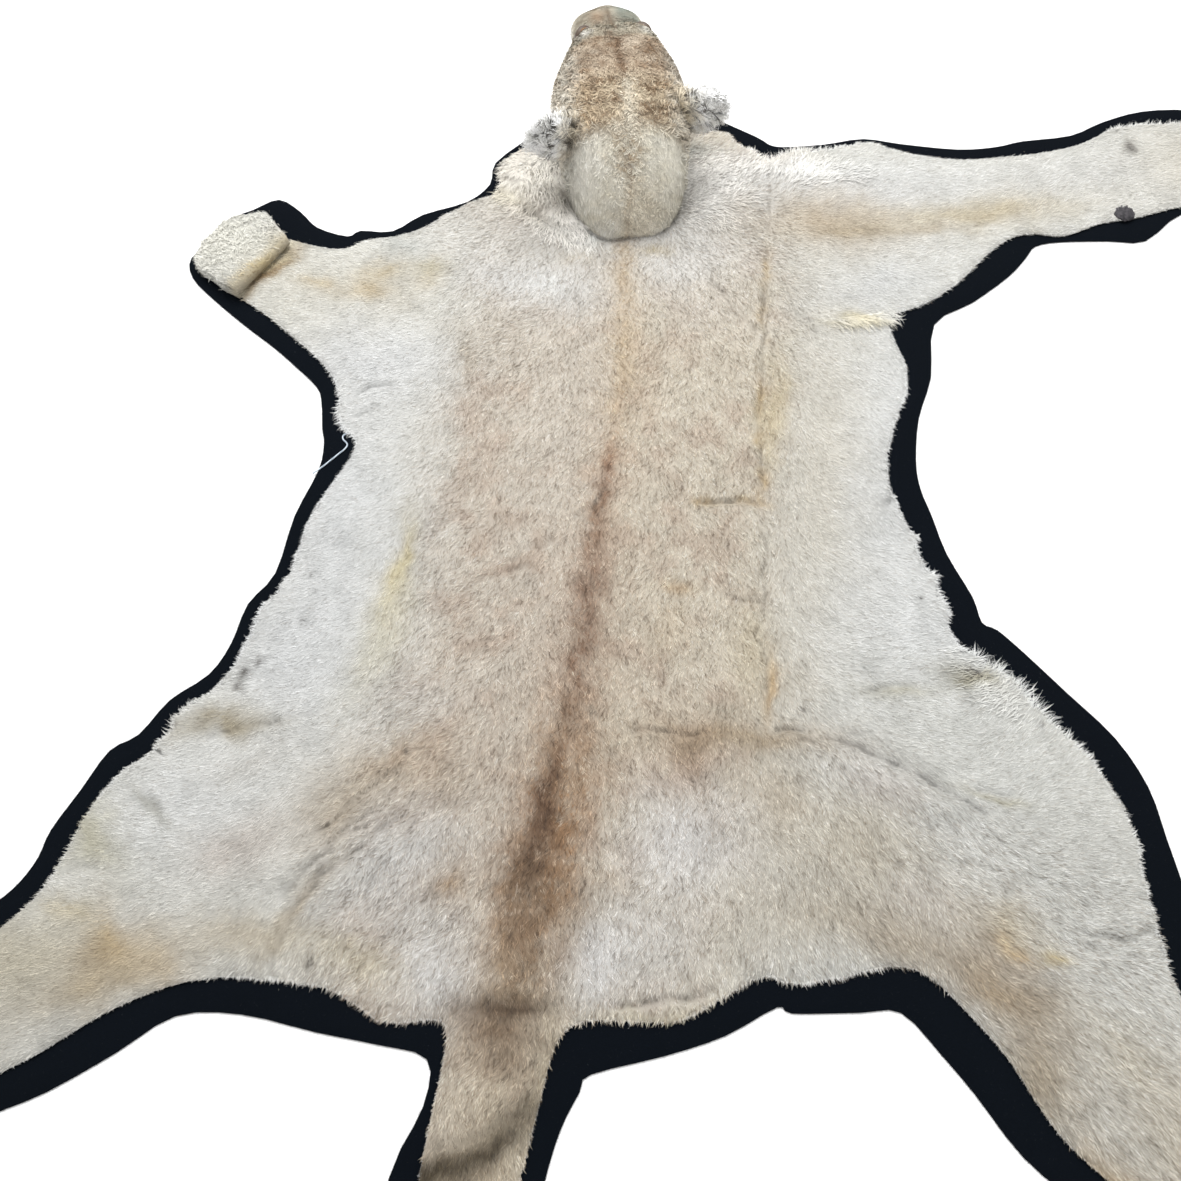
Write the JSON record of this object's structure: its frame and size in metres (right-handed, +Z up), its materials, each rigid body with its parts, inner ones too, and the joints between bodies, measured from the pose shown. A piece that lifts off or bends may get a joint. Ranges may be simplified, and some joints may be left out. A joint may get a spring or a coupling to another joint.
{
  "type": "lion skin rug",
  "caption": "Flat tanned lioness hide rug, hair side up, on a wider wavy-edged black felt backing, with a mounted head, a folded forepaw and a loose end of thread.",
  "frame": {"origin": "on the floor, under the middle of the rug's footprint, from the tail end of the felt to the muzzle", "axes": "+Y runs up the spine towards the head, +X to the right as seen from the tail with the hair side up, +Z up"},
  "size_m": [2.065, 2.4926, 0.2048],
  "materials": {
    "black_felt": "matte wool felt",
    "lion_hair": "tanned skin with short hair, cream to tan with a brown stripe along the spine",
    "head_skin": "tanned skin with short rough tan hair",
    "ear_hair": "white and dark grey hair",
    "glass_eye": "clear brown glass eye",
    "thread": "pale blue-grey string"
  },
  "bodies": {
    "root": {"felt_backing": "black_felt", "hide": "lion_hair", "head": "head_skin", "ear_left": "ear_hair", "ear_right": "ear_hair", "eye_left": "glass_eye", "eye_right": "glass_eye", "loose_thread": "thread"}
  },
  "joints": []
}
